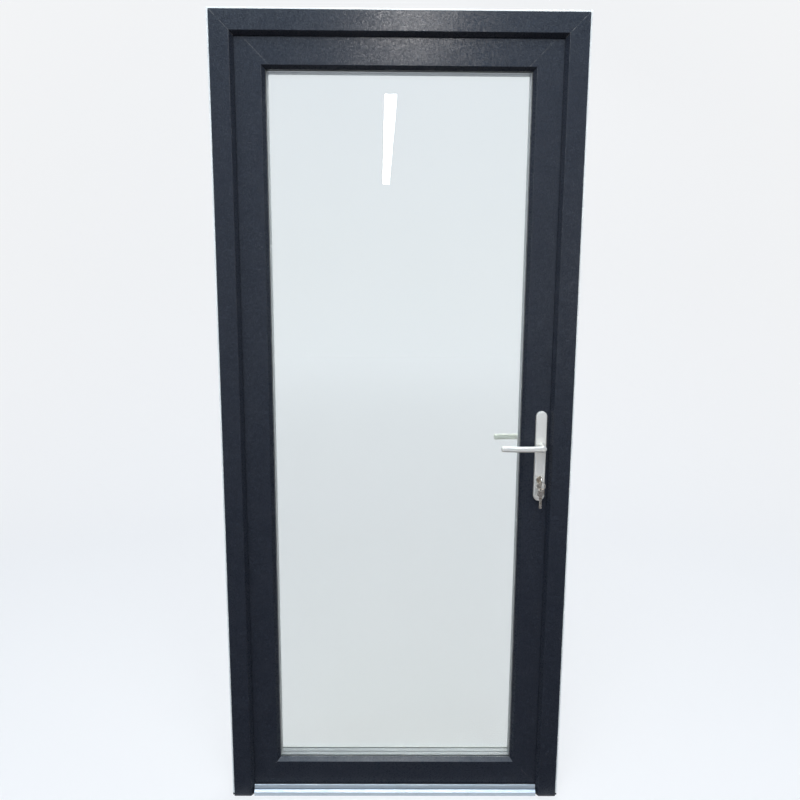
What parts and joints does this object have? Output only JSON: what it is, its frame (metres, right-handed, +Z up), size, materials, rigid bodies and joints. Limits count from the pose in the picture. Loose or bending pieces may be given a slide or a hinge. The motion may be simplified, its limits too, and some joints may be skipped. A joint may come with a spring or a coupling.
{
  "type": "glazed entrance door with frame",
  "caption": "Fully glazed hinged entrance door in a mitred hollow-profile frame with an aluminium threshold, lever handles, a key cylinder and a multi-point lock.",
  "frame": {"origin": "middle of the threshold's underside, on the floor, at mid depth of the frame", "axes": "+X to the right as seen from outdoors, +Y into the building, +Z up"},
  "size_m": [0.95, 0.1762, 2.15],
  "materials": {
    "foiled_profile": "fine-grained anthracite foil outside on white profiles",
    "white_plastic": "smooth semi-gloss",
    "galvanised": "zinc plated",
    "sill_aluminium": "natural anodised",
    "satin_aluminium": "satin anodised",
    "spacer_aluminium": "mill finish",
    "nickel_brass": "nickel plated, lightly worn",
    "black_plastic": "moulded",
    "seal_rubber": "matt extruded",
    "sealant": "matt",
    "clear_glass": "float glass"
  },
  "bodies": {
    "frame": {"frame_head": "foiled_profile", "frame_hinge_jamb": "foiled_profile", "frame_lock_jamb": "foiled_profile", "frame_reinforcement": "galvanised", "threshold_outer": "sill_aluminium", "threshold_break": "black_plastic", "threshold_inner": "sill_aluminium", "jamb_feet": "black_plastic", "frame_gasket": "seal_rubber", "threshold_seal": "seal_rubber", "main_keeper": "galvanised", "bolt_keepers": "galvanised", "hinge_frame_halves": "white_plastic", "hinge_pins": "galvanised", "frame_screws": "galvanised"},
    "leaf": {"leaf_top_rail": "foiled_profile", "leaf_bottom_rail": "foiled_profile", "leaf_hinge_stile": "foiled_profile", "leaf_lock_stile": "foiled_profile", "leaf_reinforcement": "galvanised", "outer_pane": "clear_glass", "middle_pane": "clear_glass", "inner_pane": "clear_glass", "outer_spacer": "spacer_aluminium", "inner_spacer": "spacer_aluminium", "edge_sealant": "sealant", "outer_glazing_gasket": "seal_rubber", "inner_glazing_gasket": "seal_rubber", "top_bead": "white_plastic", "bottom_bead": "white_plastic", "hinge_side_bead": "white_plastic", "lock_side_bead": "white_plastic", "glazing_packers": "black_plastic", "leaf_gasket": "seal_rubber", "bottom_seal": "seal_rubber", "lock_faceplate": "galvanised", "lock_case": "galvanised", "bolt_cases": "galvanised", "leaf_screws": "galvanised", "cylinder_screw": "galvanised", "cylinder_body": "nickel_brass", "outside_plate": "satin_aluminium", "inside_plate": "satin_aluminium", "plate_screws": "galvanised", "hinge_leaf_halves": "white_plastic"},
    "handle": {"outside_lever": "satin_aluminium", "inside_lever": "satin_aluminium", "spindle": "galvanised", "follower": "galvanised"},
    "latch": {"latch_bolt": "galvanised"},
    "deadbolt": {"deadbolt": "galvanised"},
    "top_bolt": {"top_bolt": "galvanised"},
    "bottom_bolt": {"bottom_bolt": "galvanised"},
    "drive_rods": {"drive_rods": "galvanised"},
    "key": {"key": "nickel_brass", "cylinder_plug": "nickel_brass"},
    "key_ring": {"split_ring": "nickel_brass", "spare_key": "nickel_brass"}
  },
  "joints": [
    {"name": "door_swing", "type": "hinge", "parent": "frame", "child": "leaf", "pos_m": [-0.451, 0.0495, 0], "axis": [0, 0, 1], "range_deg": [0, 100]},
    {"name": "lever_turn", "type": "hinge", "parent": "leaf", "child": "handle", "pos_m": [0.3895, 0, 1.05], "axis": [0, -1, 0], "range_deg": [0, 40], "stiffness_Nm_per_rad": 2, "springref_deg": -20.05},
    {"name": "latch_slide", "type": "slide", "parent": "leaf", "child": "latch", "axis": [-1, 0, 0], "range_m": [0, 0.0115]},
    {"name": "key_turn", "type": "hinge", "parent": "leaf", "child": "key", "pos_m": [0.3895, 0, 0.958], "axis": [0, -1, 0], "range_deg": [0, 360]},
    {"name": "deadbolt_slide", "type": "slide", "parent": "leaf", "child": "deadbolt", "axis": [1, 0, 0], "range_m": [0, 0.02]},
    {"name": "top_bolt_slide", "type": "slide", "parent": "leaf", "child": "top_bolt", "axis": [1, 0, 0], "range_m": [0, 0.02]},
    {"name": "bottom_bolt_slide", "type": "slide", "parent": "leaf", "child": "bottom_bolt", "axis": [1, 0, 0], "range_m": [0, 0.02]},
    {"name": "rod_lift", "type": "slide", "parent": "leaf", "child": "drive_rods", "axis": [0, 0, 1], "range_m": [0, 0.02]},
    {"name": "ring_swing", "type": "hinge", "parent": "key", "child": "key_ring", "pos_m": [0.3895, -0.05, 0.958], "axis": [-1, 0, 0], "range_deg": [-10, 75]}
  ],
  "couplings": [
    {"joint": "latch_slide", "follows": "lever_turn", "m_per_rad": 0.01647},
    {"joint": "key_turn", "follows": "rod_lift", "rad_per_m": 314.16},
    {"joint": "deadbolt_slide", "follows": "rod_lift", "ratio": 1},
    {"joint": "top_bolt_slide", "follows": "rod_lift", "ratio": 1},
    {"joint": "bottom_bolt_slide", "follows": "rod_lift", "ratio": 1}
  ]
}
